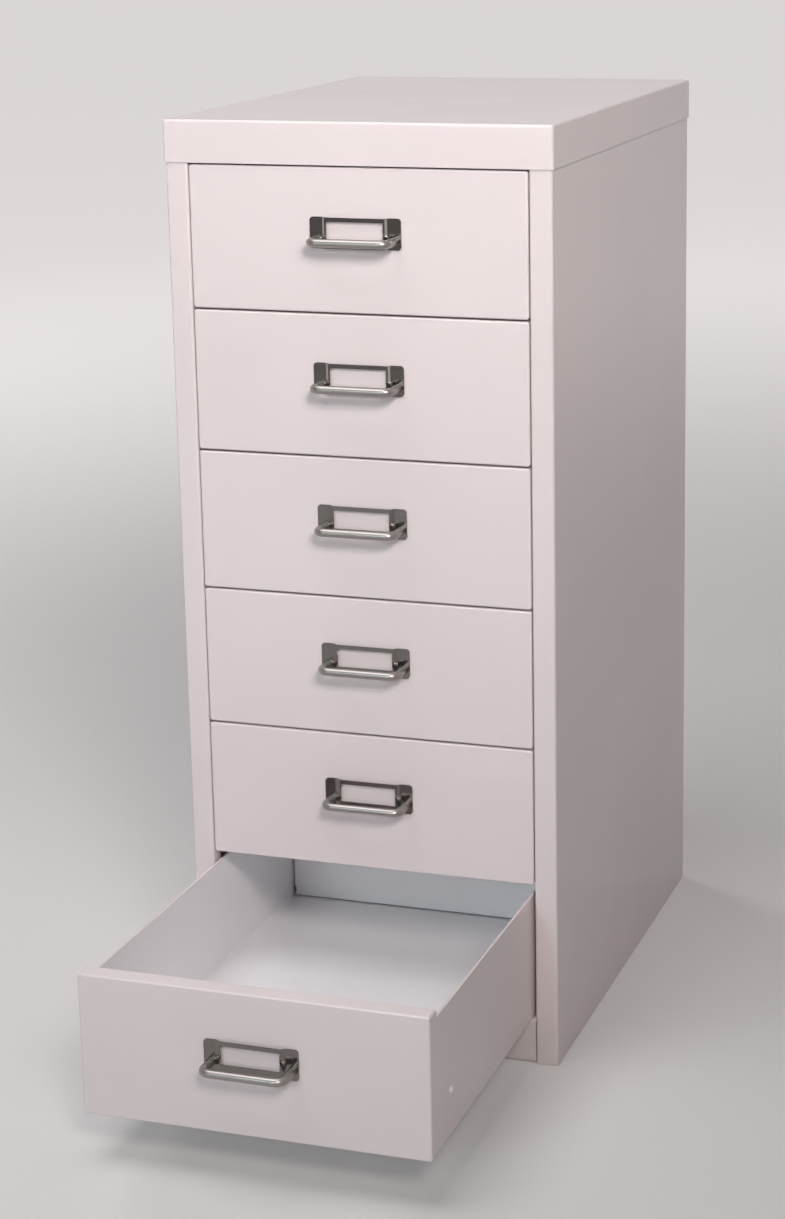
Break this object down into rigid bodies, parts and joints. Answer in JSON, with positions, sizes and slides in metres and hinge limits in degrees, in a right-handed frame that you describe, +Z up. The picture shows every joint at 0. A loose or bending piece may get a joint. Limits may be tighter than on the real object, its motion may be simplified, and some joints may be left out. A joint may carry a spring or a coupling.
{
  "type": "metal drawer cabinet",
  "caption": "Slim free-standing folded sheet-steel cabinet with flush inset drawers that slide on runners; each front has a plated label holder and wire pull, and the lowest drawer stands open.",
  "frame": {"origin": "middle of the carcass footprint, on the floor", "axes": "+Z up, the drawers face and open towards -Y, X across the cabinet"},
  "size_m": [0.2812, 0.6372, 0.672],
  "materials": {
    "shell_paint": "gloss pinkish off-white powder coat on steel",
    "front_paint": "gloss pinkish off-white powder coat on steel",
    "tray_paint": "the same powder coat, thinner and greyer inside the drawers",
    "zinc_plate": "bright zinc-plated pressed steel",
    "nickel_plate": "nickel plate, bright"
  },
  "bodies": {
    "carcass": {"left_side_panel": "shell_paint", "right_side_panel": "shell_paint", "back_panel": "shell_paint", "base_pan": "shell_paint", "plinth_rail": "shell_paint", "top_rail": "shell_paint", "top_cover": "shell_paint", "runner_left_1": "zinc_plate", "runner_left_2": "zinc_plate", "runner_left_3": "zinc_plate", "runner_left_4": "zinc_plate", "runner_left_5": "zinc_plate", "runner_left_6": "zinc_plate", "runner_right_1": "zinc_plate", "runner_right_2": "zinc_plate", "runner_right_3": "zinc_plate", "runner_right_4": "zinc_plate", "runner_right_5": "zinc_plate", "runner_right_6": "zinc_plate"},
    "drawer_1": {"drawer_front_1": "front_paint", "drawer_tray_1": "tray_paint", "drawer_back_1": "tray_paint", "label_holder_1": "nickel_plate", "pull_handle_1": "nickel_plate"},
    "drawer_2": {"drawer_front_2": "front_paint", "drawer_tray_2": "tray_paint", "drawer_back_2": "tray_paint", "label_holder_2": "nickel_plate", "pull_handle_2": "nickel_plate"},
    "drawer_3": {"drawer_front_3": "front_paint", "drawer_tray_3": "tray_paint", "drawer_back_3": "tray_paint", "label_holder_3": "nickel_plate", "pull_handle_3": "nickel_plate"},
    "drawer_4": {"drawer_front_4": "front_paint", "drawer_tray_4": "tray_paint", "drawer_back_4": "tray_paint", "label_holder_4": "nickel_plate", "pull_handle_4": "nickel_plate"},
    "drawer_5": {"drawer_front_5": "front_paint", "drawer_tray_5": "tray_paint", "drawer_back_5": "tray_paint", "label_holder_5": "nickel_plate", "pull_handle_5": "nickel_plate"},
    "drawer_6": {"drawer_front_6": "front_paint", "drawer_tray_6": "tray_paint", "drawer_back_6": "tray_paint", "label_holder_6": "nickel_plate", "pull_handle_6": "nickel_plate"}
  },
  "joints": [
    {"name": "drawer_1_slide", "type": "slide", "parent": "carcass", "child": "drawer_1", "axis": [0, -1, 0], "range_m": [0, 0.293]},
    {"name": "drawer_2_slide", "type": "slide", "parent": "carcass", "child": "drawer_2", "axis": [0, -1, 0], "range_m": [0, 0.293]},
    {"name": "drawer_3_slide", "type": "slide", "parent": "carcass", "child": "drawer_3", "axis": [0, -1, 0], "range_m": [0, 0.293]},
    {"name": "drawer_4_slide", "type": "slide", "parent": "carcass", "child": "drawer_4", "axis": [0, -1, 0], "range_m": [0, 0.293]},
    {"name": "drawer_5_slide", "type": "slide", "parent": "carcass", "child": "drawer_5", "axis": [0, -1, 0], "range_m": [0, 0.293]},
    {"name": "drawer_6_slide", "type": "slide", "parent": "carcass", "child": "drawer_6", "axis": [0, -1, 0], "range_m": [-0.229, 0.064]}
  ]
}
